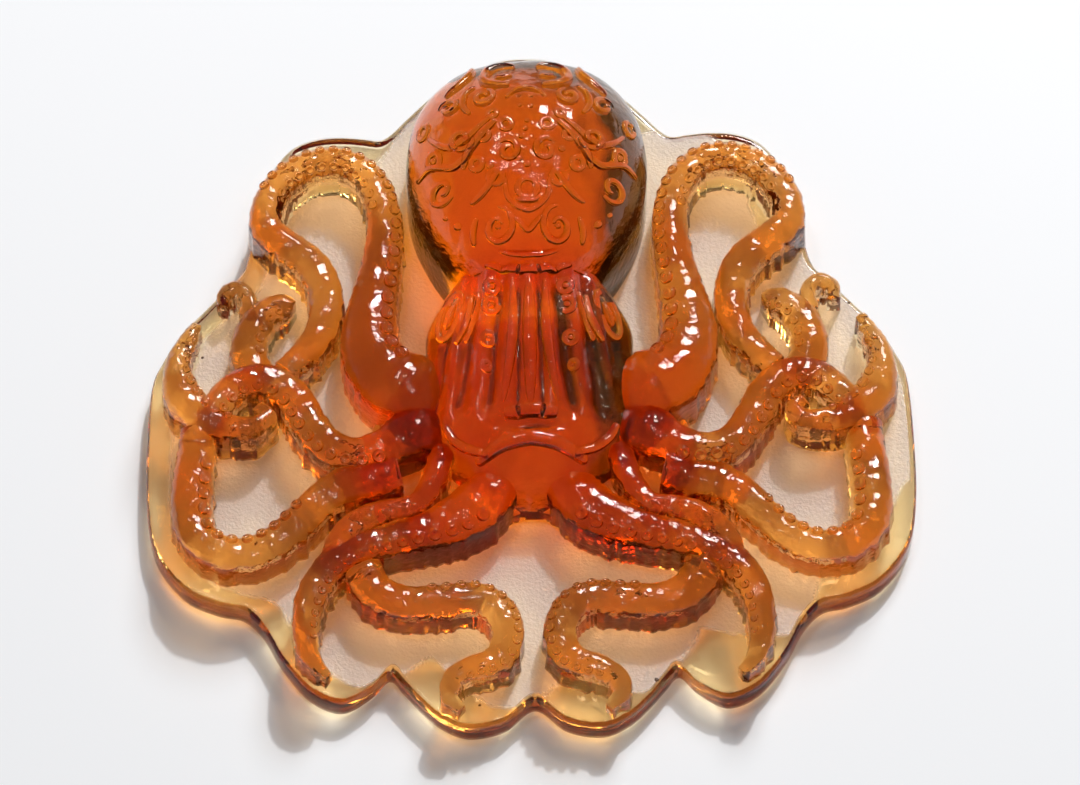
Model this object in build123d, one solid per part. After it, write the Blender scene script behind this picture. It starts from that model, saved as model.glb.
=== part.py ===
from build123d import *
import math
import os

os.makedirs("parts", exist_ok=True)

# A cast relief ornament: an octopus with curling arms on a thin scalloped plate. It lies on its
# flat underside. X runs across, Y runs from the arms to the mantle, Z is up, and the origin is
# the middle of the underside.

# Backing plate
plate_width = 90.0
plate_length = 89.4
plate_thickness = 3.6
plate_edge_radius = 0.9

# Mantle and head, with rises measured from the top of the plate
mantle_width = 28.4
mantle_length = 31.0
mantle_rise = 20.0
neck_share = 0.197
head_width = 26.0
head_length = 32.0
head_rise = 13.4
head_overlap = 4.8
web_rise = 2.6
web_edge_radius = 0.8

# Arms, with the width and the rise of a plain stretch of the lower arm
arm_width = 4.2
arm_rise = 6.0
sucker_radius = 0.72
sucker_rise = 0.42
sucker_gap = 0.35

# Ornaments on the mantle and the head
ring_bead = 0.40
small_ring_radius = 0.85
scroll_radius = 1.80
scroll_width = 0.95
eye_length = 6.8
eye_width = 3.0
eye_bead = 0.50
eye_ball_rise = 0.75
lid_width = 1.4
brow_width = 1.3
furrow_width = 1.5
lip_width = 1.7

# Gap under what sits on a round surface, so that it rests on the crown and doesn't cut into it
seat_gap = 0.05
# Half the distance over which the slope of a surface is read
probe = 0.25
# How far a cutting solid runs past what it cuts
overrun = 2.0

# Crown of a section, as a share of its width, and never more than a share of its rise
crown_share = 0.38
crown_limit_share = 0.72
# A crumb that a cut leaves is no piece if it is smaller than this share of the whole; the web is
# cut into small fillets, so its crumbs are smaller
crumb_share = 0.03
web_crumb_share = 0.004

half_width = plate_width / 2
half_length = plate_length / 2
# The neck is where the mantle ends over the head, and it keeps its place between the arms
neck_y = neck_share * half_length
mantle_back_y = neck_y + mantle_length
head_back_y = neck_y + head_overlap
head_front_y = head_back_y - head_length
plate_top = plate_thickness
total_rise = mantle_rise + plate_thickness

# Right half of the scalloped outline, from the mantle end round to the front, in half sizes
outline_shares = [
    (0.000, 1.000), (0.076, 0.991), (0.162, 0.953), (0.238, 0.897), (0.311, 0.823), (0.360, 0.770),
    (0.391, 0.752), (0.436, 0.758), (0.493, 0.763), (0.556, 0.758), (0.613, 0.736), (0.653, 0.696),
    (0.687, 0.635), (0.711, 0.568), (0.722, 0.501), (0.733, 0.425), (0.753, 0.353), (0.796, 0.302),
    (0.860, 0.230), (0.918, 0.163), (0.960, 0.087), (0.989, 0.011), (1.000, -0.145), (1.000, -0.342),
    (0.976, -0.483), (0.904, -0.588), (0.818, -0.635), (0.747, -0.653), (0.696, -0.707),
    (0.649, -0.796), (0.578, -0.886), (0.496, -0.922), (0.422, -0.881), (0.373, -0.832),
    (0.338, -0.868), (0.293, -0.922), (0.240, -0.971), (0.171, -1.000), (0.080, -0.982),
    (0.000, -0.922),
]

# Each stretch of an arm is a table of stations: x and y in half sizes of the plate, then the
# width and the rise in arm sizes. The tables are for the right side and start at the body. The
# places up to the mantle's side go with its width, and the ones outside it with what is left.
mantle_side_share = 0.3156
upper_arm_shares = [
    (0.211, -0.089, 2.14, 1.58), (0.300, -0.081, 2.14, 1.53), (0.373, -0.036, 2.00, 1.43),
    (0.413, 0.049, 1.71, 1.30), (0.413, 0.143, 1.48, 1.20), (0.396, 0.242, 1.24, 1.13),
    (0.380, 0.345, 1.07, 1.08), (0.376, 0.447, 0.98, 1.05), (0.402, 0.546, 0.90, 1.03),
    (0.471, 0.611, 0.86, 1.02), (0.560, 0.615, 0.86, 1.00), (0.638, 0.568, 0.88, 1.00),
    (0.682, 0.492, 0.93, 1.00), (0.682, 0.418, 0.98, 1.00), (0.631, 0.367, 1.00, 1.00),
    (0.573, 0.318, 1.00, 1.00), (0.538, 0.251, 0.98, 1.00), (0.531, 0.174, 0.95, 1.00),
    (0.547, 0.103, 0.90, 0.98), (0.587, 0.043, 0.86, 0.97), (0.636, -0.009, 0.81, 0.93),
]
upper_curl_shares = [
    (0.698, -0.036, 1.00, 0.90), (0.729, 0.031, 1.05, 0.92), (0.729, 0.098, 1.02, 0.92),
    (0.700, 0.159, 0.95, 0.90), (0.651, 0.192, 0.76, 0.88), (0.620, 0.183, 0.52, 0.83),
]
upper_tip_shares = [
    (0.738, 0.170, 0.43, 0.73), (0.733, 0.219, 0.45, 0.75), (0.762, 0.253, 0.45, 0.75),
    (0.796, 0.237, 0.43, 0.70), (0.800, 0.206, 0.29, 0.60),
]
side_arm_shares = [
    (0.211, -0.168, 1.71, 1.50), (0.300, -0.206, 1.52, 1.43), (0.373, -0.253, 1.24, 1.30),
    (0.453, -0.268, 1.07, 1.20), (0.524, -0.237, 1.02, 1.13), (0.573, -0.170, 1.02, 1.10),
    (0.613, -0.094, 1.05, 1.08), (0.676, -0.040, 1.00, 1.07), (0.747, -0.045, 0.95, 1.05),
    (0.804, -0.094, 0.90, 1.02), (0.836, -0.152, 0.81, 0.98),
]
side_tip_shares = [
    (0.709, -0.112, 0.38, 0.87), (0.684, -0.145, 0.52, 0.97), (0.718, -0.177, 0.64, 1.00),
    (0.782, -0.174, 0.79, 1.00), (0.844, -0.145, 0.98, 1.00), (0.896, -0.087, 1.12, 1.00),
    (0.916, -0.018, 0.86, 0.97), (0.911, 0.043, 0.62, 0.90), (0.889, 0.096, 0.48, 0.83),
    (0.869, 0.143, 0.29, 0.73),
]
lower_arm_shares = [
    (0.344, -0.322, 1.19, 1.27), (0.413, -0.340, 1.19, 1.17), (0.480, -0.349, 1.14, 1.07),
    (0.542, -0.385, 1.07, 1.00), (0.600, -0.447, 1.00, 0.95), (0.667, -0.506, 0.98, 0.92),
    (0.742, -0.535, 0.98, 0.90), (0.818, -0.521, 1.02, 0.90), (0.867, -0.470, 1.10, 0.90),
    (0.880, -0.394, 1.14, 0.90), (0.876, -0.309, 1.12, 0.90), (0.867, -0.233, 1.05, 0.88),
    (0.867, -0.170, 0.95, 0.87),
]
front_root_shares = [
    (0.204, -0.190, 0.71, 1.43), (0.231, -0.277, 0.71, 1.33), (0.253, -0.358, 0.67, 1.23),
    (0.302, -0.423, 0.62, 1.17), (0.378, -0.436, 0.67, 1.13), (0.449, -0.465, 0.81, 1.08),
    (0.496, -0.521, 0.86, 1.00), (0.507, -0.582, 0.86, 0.93),
]
front_outer_arm_shares = [
    (0.058, -0.304, 1.43, 1.40), (0.116, -0.389, 1.57, 1.27), (0.191, -0.447, 1.48, 1.13),
    (0.280, -0.483, 1.19, 1.07), (0.369, -0.508, 1.00, 1.03), (0.453, -0.535, 0.95, 1.02),
    (0.524, -0.588, 0.93, 1.00), (0.569, -0.662, 0.86, 0.97), (0.584, -0.743, 0.76, 0.90),
    (0.580, -0.810, 0.62, 0.77), (0.556, -0.850, 0.45, 0.60), (0.527, -0.870, 0.26, 0.40),
]
front_inner_arm_shares = [
    (0.440, -0.582, 1.10, 0.93), (0.404, -0.649, 1.10, 0.93), (0.329, -0.682, 1.02, 0.90),
    (0.231, -0.678, 1.00, 0.88), (0.142, -0.673, 0.95, 0.88), (0.084, -0.714, 0.93, 0.88),
    (0.067, -0.785, 0.90, 0.87), (0.098, -0.850, 0.86, 0.85), (0.162, -0.872, 0.76, 0.80),
    (0.209, -0.897, 0.67, 0.70), (0.218, -0.937, 0.52, 0.53), (0.187, -0.966, 0.29, 0.37),
]

# Stations of the mantle and the head: the place along the length, counted from the end nearer
# to the mantle's back, then the width and the rise, all as shares of that piece's own sizes
mantle_shares = [
    (0.000, 0.14, 0.09), (0.020, 0.36, 0.30), (0.070, 0.58, 0.54), (0.150, 0.76, 0.74),
    (0.280, 0.92, 0.90), (0.420, 0.99, 0.985), (0.560, 1.00, 1.00), (0.700, 0.94, 0.95),
    (0.830, 0.82, 0.86), (0.930, 0.69, 0.75), (1.000, 0.58, 0.64),
]
head_shares = [
    (0.000, 0.58, 1.00), (0.140, 0.66, 1.00), (0.250, 0.78, 0.96), (0.380, 0.89, 0.90),
    (0.500, 0.96, 0.83), (0.620, 1.00, 0.76), (0.730, 0.96, 0.70), (0.820, 0.82, 0.64),
    (0.900, 0.60, 0.52), (0.960, 0.34, 0.34), (1.000, 0.15, 0.16),
]
# Right half of the thin web between the roots of the arms, in half sizes of the plate
web_shares = [
    (0.000, 0.150), (0.160, 0.130), (0.290, 0.010), (0.390, -0.110), (0.425, -0.210),
    (0.425, -0.330), (0.390, -0.430), (0.270, -0.475), (0.130, -0.455), (0.000, -0.405),
]

mirror_plane = Plane.YZ


def between(before, start, end, after, t):
    """Value at t on the smooth curve from start to end, with its two outer neighbours."""
    slope = end - before
    bend = 2 * before - 5 * start + 4 * end - after
    twist = 3 * start - before - 3 * end + after
    return (2 * start + slope * t + bend * t**2 + twist * t**3) / 2


def smooth_rows(rows, steps):
    """Rows of numbers with more rows set between them along a smooth curve."""
    padded = [rows[0]] + list(rows) + [rows[-1]]
    result = []
    for i in range(1, len(padded) - 2):
        group = padded[i - 1:i + 3]
        for k in range(steps):
            result.append(tuple(between(*column, k / steps) for column in zip(*group)))
    result.append(tuple(rows[-1]))
    return result


def across_plate(share):
    """Place across the plate for a share of its half width, kept clear of the mantle's side."""
    side = mantle_width / 2
    if share < mantle_side_share:
        return side * share / mantle_side_share
    return side + (half_width - side) * (share - mantle_side_share) / (1 - mantle_side_share)


def arm_rows(shares):
    """Stations of an arm in real sizes: x, y, width and rise."""
    return [(across_plate(x), y * half_length, w * arm_width, h * arm_rise) for x, y, w, h in shares]


def body_rows(shares, start_y, length, width, rise):
    """Stations of the mantle or the head in real sizes, running towards the arms."""
    return [(0, start_y - s * length, w * width, h * rise) for s, w, h in shares]


def heading(rows, i):
    """Unit direction of travel at a station, in plan."""
    before = rows[max(i - 1, 0)]
    after = rows[min(i + 1, len(rows) - 1)]
    return Vector(after[0] - before[0], after[1] - before[1], 0).normalized()


def crown_height(width, rise):
    """How far the round crown of a section stands above its walls."""
    return min(width * crown_share, rise * crown_limit_share)


def arch_point(row, direction, side):
    """Point on the round crown of a section, and its slope across; side runs from -1 to 1."""
    x, y, width, rise = row
    across = Vector(direction.Y, -direction.X, 0)
    crown = crown_height(width, rise)
    bow = (crown**2 + (width / 2)**2) / (2 * crown)
    out = side * width / 2
    up = math.sqrt(bow**2 - out**2)
    point = Vector(x, y, plate_top + rise - bow + up) + across * out
    return point, across * up - Vector(0, 0, out)


def arch_place(rows, i, side):
    """Point on the crown at a station and its normal."""
    before = max(i - 1, 0)
    after = min(i + 1, len(rows) - 1)
    point, slope = arch_point(rows[i], heading(rows, i), side)
    along = (arch_point(rows[after], heading(rows, after), side)[0]
             - arch_point(rows[before], heading(rows, before), side)[0])
    return point, slope.cross(along).normalized()


def arch_section(row, direction):
    """Closed wire across a stretch: flat foot, upright walls and a round crown."""
    x, y, width, rise = row
    across = Vector(direction.Y, -direction.X, 0)
    middle = Vector(x, y, plate_top)
    wall = Vector(0, 0, rise - crown_height(width, rise))
    left = middle - across * (width / 2)
    right = middle + across * (width / 2)
    edges = [
        Edge.make_line(left, right),
        Edge.make_line(right, right + wall),
        Edge.make_three_point_arc(right + wall, middle + Vector(0, 0, rise), left + wall),
        Edge.make_line(left + wall, left),
    ]
    return Wire(edges)


def arch_loft(rows):
    """Solid through all the stations of one stretch."""
    return Solid.make_loft([arch_section(row, heading(rows, i)) for i, row in enumerate(rows)])


def cut_by(solid, tools, least_share=crumb_share):
    """The pieces of a solid that lie outside the tools, without loose crumbs."""
    result = solid - list(tools) if tools else solid
    least = solid.volume * least_share
    return [piece for piece in result.solids() if piece.volume > least]


def mirrored(solids):
    """The same solids on the other side of the middle plane."""
    return [solid.mirror(mirror_plane) for solid in solids]


def closed_outline(shares):
    """Smooth closed wire from the right half of an outline, in half sizes of the plate."""
    right = [(across_plate(x), y * half_length) for x, y in shares]
    left = [(-x, y) for x, y in reversed(right[1:-1])]
    return Wire([Edge.make_spline(right + left, periodic=True)])


def upright(wire, foot, rise):
    """Solid that stands on a level outline."""
    return Pos(0, 0, foot) * extrude(Face(wire), rise, dir=(0, 0, 1))


def seat(place, normal, turn=Vector(0, 1, 0)):
    """Plane on a surface, facing away from it and lifted by the seat gap."""
    side = turn.cross(normal)
    return Plane(origin=place + normal * seat_gap, x_dir=side, z_dir=normal)


def sucker(radius):
    """Round sucker with a raised rim and a shallow hollow, flat underneath."""
    rise = sucker_rise * radius / sucker_radius
    with BuildSketch(Plane.XZ) as profile:
        with BuildLine():
            foot = (radius, 0)
            rim = (radius * rim_share, rise)
            dimple = (0, rise * dimple_share)
            Line((0, 0), foot)
            ThreePointArc(foot, (radius * shoulder_share, rise * shoulder_rise_share), rim)
            Line(rim, dimple)
            Line(dimple, (0, 0))
        make_face()
    return revolve(profile.sketch, Axis.Z).solid()


def bead_ring(radius, bead):
    """Round raised ring, flat underneath."""
    with BuildSketch(Plane.XZ) as profile:
        with BuildLine():
            inner = (radius - bead, 0)
            outer = (radius + bead, 0)
            Line(inner, outer)
            ThreePointArc(outer, (radius, bead), inner)
        make_face()
    return revolve(profile.sketch, Axis.Z).solid()


def body_side(y):
    """Half width of the mantle and the head at a place along them, or zero past their ends."""
    widths = [0]
    for rows in (mantle_table, head_table):
        for above, below in zip(rows, rows[1:]):
            if below[1] <= y <= above[1]:
                widths.append(max(above[2], below[2]) / 2)
    return max(widths)


def hidden(point, reach, others):
    """Whether the body or another stretch rises beside or over a place on a crown."""
    if point.X < body_side(point.Y) + reach:
        return True
    for x, y, width, rise in others:
        if math.hypot(point.X - x, point.Y - y) < width / 2 + reach and point.Z < plate_top + rise + reach:
            return True
    return False


def sucker_row(rows, start_share, end_share, side, size_share, others):
    """Suckers set along a stretch, from one share of its stations to another."""
    places = []
    last = None
    first = round(start_share * (len(rows) - 1))
    final = round(end_share * (len(rows) - 1))
    fine = smooth_rows(rows[first:final + 1], fine_steps)
    for i, row in enumerate(fine):
        radius = sucker_radius * size_share * min(row[2] / arm_width, sucker_spread_limit)
        point, normal = arch_place(fine, i, side)
        if hidden(point, radius + sucker_gap, others):
            continue
        reach = radius if last is None else last[1] + radius + sucker_gap
        if last is None or (point - last[0]).length >= reach:
            places.append(seat(point, normal) * sucker(radius))
            last = (point, radius)
    return places


def body_point(rows, x, y):
    """Point on the mantle or the head above a place in plan."""
    above, below = rows[0], rows[1]
    for above, below in zip(rows, rows[1:]):
        if below[1] <= y:
            break
    t = (above[1] - y) / (above[1] - below[1])
    row = tuple(a + (b - a) * t for a, b in zip(above, below))
    side = max(min(2 * x / row[2], body_edge_share), -body_edge_share)
    return arch_point(row, Vector(0, -1, 0), -side)[0]


def body_place(rows, x, y):
    """Point and normal on the mantle or the head above a place in plan."""
    across = body_point(rows, x + probe, y) - body_point(rows, x - probe, y)
    along = body_point(rows, x, y + probe) - body_point(rows, x, y - probe)
    return body_point(rows, x, y), across.cross(along).normalized()


def ridge_on(rows, places, width):
    """Ridge along places in plan on the mantle or the head, thin at its two ends."""
    count = len(places) - 1
    seats = [body_place(rows, x, y) for x, y in places]
    wires = []
    for i, (point, normal) in enumerate(seats):
        before = seats[max(i - 1, 0)][0]
        after = seats[min(i + 1, count)][0]
        across = (after - before).cross(normal).normalized()
        swell = ridge_end_share + (1 - ridge_end_share) * math.sin(math.pi * i / count)
        reach = across * (width / 2 * swell)
        foot = point + normal * seat_gap
        left = foot - reach
        right = foot + reach
        top = foot + normal * (width / 2 * swell)
        wires.append(Wire([
            Edge.make_line(left, right),
            Edge.make_three_point_arc(right, top, left),
        ]))
    return Solid.make_loft(wires)


def scroll_places(x, y, radius, turn, lead):
    """Places of a curl that winds in from its rim to its middle."""
    places = []
    for k in range(scroll_points):
        t = k / (scroll_points - 1)
        angle = lead + turn * t
        reach = radius * (1 - t * scroll_wind_share)
        places.append((x + reach * math.cos(angle), y + reach * math.sin(angle)))
    return places


# Profile of a sucker, as shares of its radius and its rise
rim_share = 0.62
dimple_share = 0.40
shoulder_share = 0.90
shoulder_rise_share = 0.72
sucker_spread_limit = 1.25
# Rows of a fine table for each row of its own
fine_steps = 10
# Ornaments stay on the crown, within this share of a section's half width
body_edge_share = 0.97
# Curls and ridges
ridge_end_share = 0.40
scroll_points = 12
scroll_wind_share = 0.72
scroll_turn = math.radians(430)

# Backing plate
backing_plate = upright(closed_outline(outline_shares), 0, plate_thickness)
top_rim = backing_plate.faces().sort_by(Axis.Z)[-1].edges()
backing_plate = fillet(top_rim, plate_edge_radius)

# Mantle and head
mantle_table = body_rows(mantle_shares, mantle_back_y, mantle_length, mantle_width, mantle_rise)
mantle = arch_loft(mantle_table)
head_table = body_rows(head_shares, head_back_y, head_length, head_width, head_rise)
head_solid = arch_loft(head_table)
mantle_crown = smooth_rows(mantle_table, fine_steps)
head_crown = smooth_rows(head_table, fine_steps)
head = cut_by(head_solid, [mantle])

# Arms of the right side; a stretch gives way to what passes over it
tables = {name: arm_rows(shares) for name, shares in {
    "upper_arm": upper_arm_shares,
    "upper_curl": upper_curl_shares,
    "upper_tip": upper_tip_shares,
    "side_arm": side_arm_shares,
    "side_tip": side_tip_shares,
    "lower_arm": lower_arm_shares,
    "front_root": front_root_shares,
    "front_outer_arm": front_outer_arm_shares,
    "front_inner_arm": front_inner_arm_shares,
}.items()}
whole = {name: arch_loft(rows) for name, rows in tables.items()}
left_side = Pos(-half_width, 0, total_rise / 2) * Box(plate_width, plate_length, total_rise + overrun)
passes_over = {
    "side_tip": [],
    "side_arm": [whole["side_tip"], head_solid],
    "front_outer_arm": [head_solid, left_side],
    "front_root": [whole["front_outer_arm"], whole["side_arm"], head_solid],
    "front_inner_arm": [whole["front_outer_arm"], whole["front_root"]],
    "lower_arm": [whole["side_arm"], whole["side_tip"], whole["front_root"]],
    "upper_arm": [whole["side_arm"], head_solid, mantle],
    "upper_curl": [whole["side_arm"], whole["upper_arm"]],
    "upper_tip": [whole["upper_curl"]],
}
right_arms = {name: cut_by(whole[name], tools) for name, tools in passes_over.items()}

# Web between the roots of the arms
web_blank = upright(closed_outline(web_shares), plate_top, web_rise)
web_blank = fillet(web_blank.faces().sort_by(Axis.Z)[-1].edges(), web_edge_radius)
roots = [whole[name] for name in
         ("upper_arm", "side_arm", "lower_arm", "front_root", "front_outer_arm")]
web_tools = [mantle, head_solid] + roots + mirrored(roots)
web = cut_by(web_blank, web_tools, web_crumb_share)

# Rows of suckers: stretch, first and last share of it, side of the crown, size
outer_side = 0.60
sucker_rows = [
    ("upper_arm", 0.10, 0.65, -outer_side, 1.0),
    ("upper_arm", 0.40, 0.65, outer_side, 0.9),
    ("upper_curl", 0.30, 1.00, -outer_side, 0.8),
    ("side_arm", 0.25, 0.95, outer_side, 1.0),
    ("side_tip", 0.30, 0.95, -outer_side, 0.9),
    ("lower_arm", 0.30, 0.92, -outer_side, 1.0),
    ("front_outer_arm", 0.15, 0.90, outer_side, 0.9),
    ("front_inner_arm", 0.30, 0.85, outer_side, 0.9),
]
# Stretches that a row of suckers has to stay clear of
passes_beside = {
    "upper_arm": ["side_arm"],
    "side_arm": ["side_tip", "lower_arm", "upper_arm", "upper_curl"],
    "side_tip": ["side_arm", "lower_arm", "upper_curl"],
    "lower_arm": ["side_arm", "side_tip", "front_root"],
    "front_outer_arm": ["front_root", "front_inner_arm"],
    "front_inner_arm": ["front_outer_arm"],
}
right_suckers = {}
for name, start_share, end_share, side, size_share in sucker_rows:
    others = []
    for other in passes_beside.get(name, []):
        others += smooth_rows(tables[other], fine_steps)
    row = sucker_row(tables[name], start_share, end_share, side, size_share, others)
    right_suckers.setdefault(name, []).extend(row)

# Rings on the right half of the mantle: x in its half width, y in its length from the neck, and
# the radius in small rings
mantle_ring_shares = [
    (0.000, 0.214, 1.4), (0.254, 0.286, 1.2), (0.507, 0.149, 1.3), (0.196, 0.408, 1.3),
    (0.704, 0.293, 1.3), (0.000, 0.531, 1.1), (0.830, 0.480, 1.2), (0.792, 0.639, 1.1),
]
# Curls on the right half, placed the same way: radius in scrolls, lead angle in turns
mantle_scroll_shares = [
    (0.269, 0.103, 1.00, 0.25), (0.475, 0.394, 0.95, 0.60), (0.317, 0.567, 0.95, 0.10),
    (0.618, 0.567, 0.85, 0.50), (0.238, 0.733, 1.05, 0.30), (0.555, 0.733, 0.80, 0.05),
    (0.333, 0.855, 0.85, 0.40),
]
mantle_bead_shares = [(0.000, 0.639), (0.070, 0.671), (0.000, 0.711), (0.076, 0.610)]
# On the head, x is in its half width and y in its length from the front
cheek_ring_shares = [(0.353, 0.771), (0.360, 0.684), (0.367, 0.582), (0.374, 0.463)]


def on_mantle(x, y):
    """Place in plan for shares of the mantle."""
    return x * mantle_width / 2, neck_y + y * mantle_length


def on_head(x, y):
    """Place in plan for shares of the head."""
    return x * head_width / 2, head_front_y + y * head_length


def both_sides(solids, middle):
    """Solids with their mirror images, but the ones on the middle line only once."""
    return solids + mirrored([s for s, on_line in zip(solids, middle) if not on_line])


mantle_rings = []
for x, y, size in mantle_ring_shares:
    place = body_place(mantle_crown, *on_mantle(x, y))
    mantle_rings.append(seat(*place) * bead_ring(small_ring_radius * size, ring_bead))
mantle_rings = both_sides(mantle_rings, [row[0] == 0 for row in mantle_ring_shares])

mantle_scrolls = []
for x, y, size, lead in mantle_scroll_shares:
    places = scroll_places(*on_mantle(x, y), scroll_radius * size, scroll_turn, 2 * math.pi * lead)
    mantle_scrolls.append(ridge_on(mantle_crown, places, scroll_width))
mantle_scrolls += mirrored(mantle_scrolls)

mantle_beads = []
for x, y in mantle_bead_shares:
    place = body_place(mantle_crown, *on_mantle(x, y))
    mantle_beads.append(seat(*place) * sucker(ring_bead))
mantle_beads = both_sides(mantle_beads, [row[0] == 0 for row in mantle_bead_shares])

cheek_rings = []
for x, y in cheek_ring_shares:
    place = body_place(head_crown, *on_head(x, y))
    cheek_rings.append(seat(*place) * bead_ring(small_ring_radius, ring_bead))

# Eyes: an oval ring about a low ball, and a lid on the inner side of each
eye_place_share = (0.755, 0.712)
eye_lean = Vector(-0.42, 1, 0)
eye_point, eye_normal = body_place(head_crown, *on_head(*eye_place_share))
eye_plane = seat(eye_point, eye_normal, eye_lean)
eye_ring_radius = eye_width / 2 - eye_bead
stretch = (1, eye_length / eye_width, 1)
eye_ring = eye_plane * scale(bead_ring(eye_ring_radius, eye_bead), by=stretch)
ball_radius = eye_ring_radius - eye_bead
ball = Sphere(ball_radius) & (Pos(0, 0, ball_radius) * Box(*[2 * ball_radius] * 3))
ball_stretch = (1, stretch[1], eye_ball_rise / ball_radius)
eye_ball = eye_plane * scale(ball, by=ball_stretch)

lid_shares = [(0.616, 0.596), (0.595, 0.659), (0.554, 0.722), (0.492, 0.785)]
brow_shares = [(-0.398, 0.861), (-0.208, 0.833), (0.000, 0.824), (0.208, 0.833), (0.398, 0.861)]
furrow_shares = [
    [(0.000, 0.785), (0.000, 0.645), (0.000, 0.505), (0.000, 0.324)],
    [(0.145, 0.778), (0.138, 0.645), (0.166, 0.491), (0.208, 0.310)],
]
lip_shares = [
    [(-0.180, 0.265), (0.000, 0.259), (0.180, 0.265)],
    [(-0.242, 0.201), (-0.121, 0.178), (0.000, 0.170), (0.121, 0.178), (0.242, 0.201)],
]


def ridge_along(shares, width):
    """Ridge along a line of shares of the head."""
    places = [on_head(x, y) for x, y in shares]
    return ridge_on(head_crown, smooth_rows(places, ridge_steps), width)


ridge_steps = 2
lid = ridge_along(lid_shares, lid_width)
brow = ridge_along(brow_shares, brow_width)
furrows = [ridge_along(line, furrow_width) for line in furrow_shares]
furrows = both_sides(furrows, [line[0][0] == 0 for line in furrow_shares])
lips = [ridge_along(line, lip_width) for line in lip_shares]

nodes = {
    "backing_plate": backing_plate.solids(),
    "mantle": [mantle],
    "mantle_rings": mantle_rings,
    "mantle_scrolls": mantle_scrolls,
    "mantle_beads": mantle_beads,
    "head": head,
    "brow": [brow],
    "nose_furrows": furrows,
    "lips": lips,
    "web": web,
}
paired = {
    "eye_ring": eye_ring.solids(),
    "eye_ball": eye_ball.solids(),
    "eyelid": [lid],
    "cheek_rings": cheek_rings,
}
paired["front_inner_arm"] = right_arms.pop("front_root") + right_arms.pop("front_inner_arm")
paired.update(right_arms)
paired.update({f"{name}_suckers": solids for name, solids in right_suckers.items()})
for name, solids in paired.items():
    nodes[f"{name}_right"] = solids
    nodes[f"{name}_left"] = mirrored(solids)
for name, solids in nodes.items():
    print(name, len(solids))
    export_step(Compound(children=solids), f"parts/{name}.step")
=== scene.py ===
"""Looks of a cast amber octopus relief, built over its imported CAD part."""

import logging
import math
from dataclasses import dataclass, field, replace
from enum import Enum
from typing import Callable, Sequence

import bmesh
import bpy
from mathutils import Matrix, Vector, noise
from mathutils.bvhtree import BVHTree


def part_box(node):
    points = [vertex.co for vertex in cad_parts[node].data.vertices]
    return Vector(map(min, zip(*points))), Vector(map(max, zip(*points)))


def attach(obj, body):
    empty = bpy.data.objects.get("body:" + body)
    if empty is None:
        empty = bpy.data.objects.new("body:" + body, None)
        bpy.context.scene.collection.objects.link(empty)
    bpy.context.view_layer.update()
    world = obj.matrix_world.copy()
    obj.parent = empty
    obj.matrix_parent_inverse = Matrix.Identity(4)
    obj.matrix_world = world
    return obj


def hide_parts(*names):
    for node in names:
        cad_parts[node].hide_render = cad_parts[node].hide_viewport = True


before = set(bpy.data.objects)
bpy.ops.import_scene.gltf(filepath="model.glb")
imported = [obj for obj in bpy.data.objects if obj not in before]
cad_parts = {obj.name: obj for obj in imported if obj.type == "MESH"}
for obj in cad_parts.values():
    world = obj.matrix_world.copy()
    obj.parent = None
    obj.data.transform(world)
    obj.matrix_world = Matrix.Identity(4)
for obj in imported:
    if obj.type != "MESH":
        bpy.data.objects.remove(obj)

MM = 0.001
LOG = logging.getLogger("octopus")

Row = tuple[float, ...]
Color = tuple[float, float, float]
Stop = tuple[float, Color]
Place = Callable[[float, float], Vector]
Socket = bpy.types.NodeSocket


class Side(Enum):
    """The two mirrored halves of the relief."""

    RIGHT = 1
    LEFT = -1

    @property
    def word(self) -> str:
        """The half's name, as the CAD nodes write it."""
        return self.name.lower()


class Wrap(Enum):
    """How a sheet closes on itself."""

    TUBE = "its second direction runs round a section, and its ends are capped"
    RING = "both of its directions run round"
    DISC = "its first direction runs round, and its second from one pole to the other"


# Curves and sheets


def clamp(value: float) -> float:
    """Value held between 0 and 1."""
    return min(max(value, 0.0), 1.0)


def between(group: Sequence[Row], t: float) -> Row:
    """Row at t on the smooth curve between the middle two of four rows.

    Args:
        group: Four neighbouring rows.
        t: Share of the way from the second row to the third.

    Returns:
        The row there.
    """
    mixed = []
    for a, b, c, d in zip(*group):
        mixed.append(
            (2 * b + (c - a) * t + (2 * a - 5 * b + 4 * c - d) * t**2 + (3 * b - a - 3 * c + d) * t**3) / 2
        )
    return tuple(mixed)


def smooth(rows: Sequence[Row], spacing: float) -> list[Row]:
    """Rows about a spacing apart on the smooth curve through the given ones.

    Args:
        rows: Rows that start with x and y.
        spacing: Wanted distance between neighbours, in millimetres.

    Returns:
        The rows, the first and the last one included.
    """
    padded = [rows[0], *rows, rows[-1]]
    fine: list[Row] = []
    for i in range(1, len(padded) - 2):
        start, end = padded[i], padded[i + 1]
        steps = max(2, round(math.dist(start[:2], end[:2]) / spacing))
        fine += [between(padded[i - 1 : i + 3], k / steps) for k in range(steps)]
    fine.append(tuple(rows[-1]))
    return fine


def closed_curve(points: Sequence[Row], count: int) -> list[Vector]:
    """Points at even steps along the smooth closed curve through the given ones.

    Args:
        points: Corner points, in order.
        count: How many points to give back.

    Returns:
        The points.
    """
    total, steps = len(points), 24
    fine: list[Row] = []
    for i in range(total):
        group = [points[(i + k) % total] for k in (-1, 0, 1, 2)]
        fine += [between(group, k / steps) for k in range(steps)]
    fine.append(fine[0])
    runs = [0.0]
    for a, b in zip(fine, fine[1:]):
        runs.append(runs[-1] + math.dist(a, b))
    result, j = [], 0
    for k in range(count):
        goal = runs[-1] * k / count
        while runs[j + 1] < goal:
            j += 1
        t = (goal - runs[j]) / max(runs[j + 1] - runs[j], 1e-9)
        result.append(Vector(fine[j]).lerp(Vector(fine[j + 1]), t))
    return result


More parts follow.
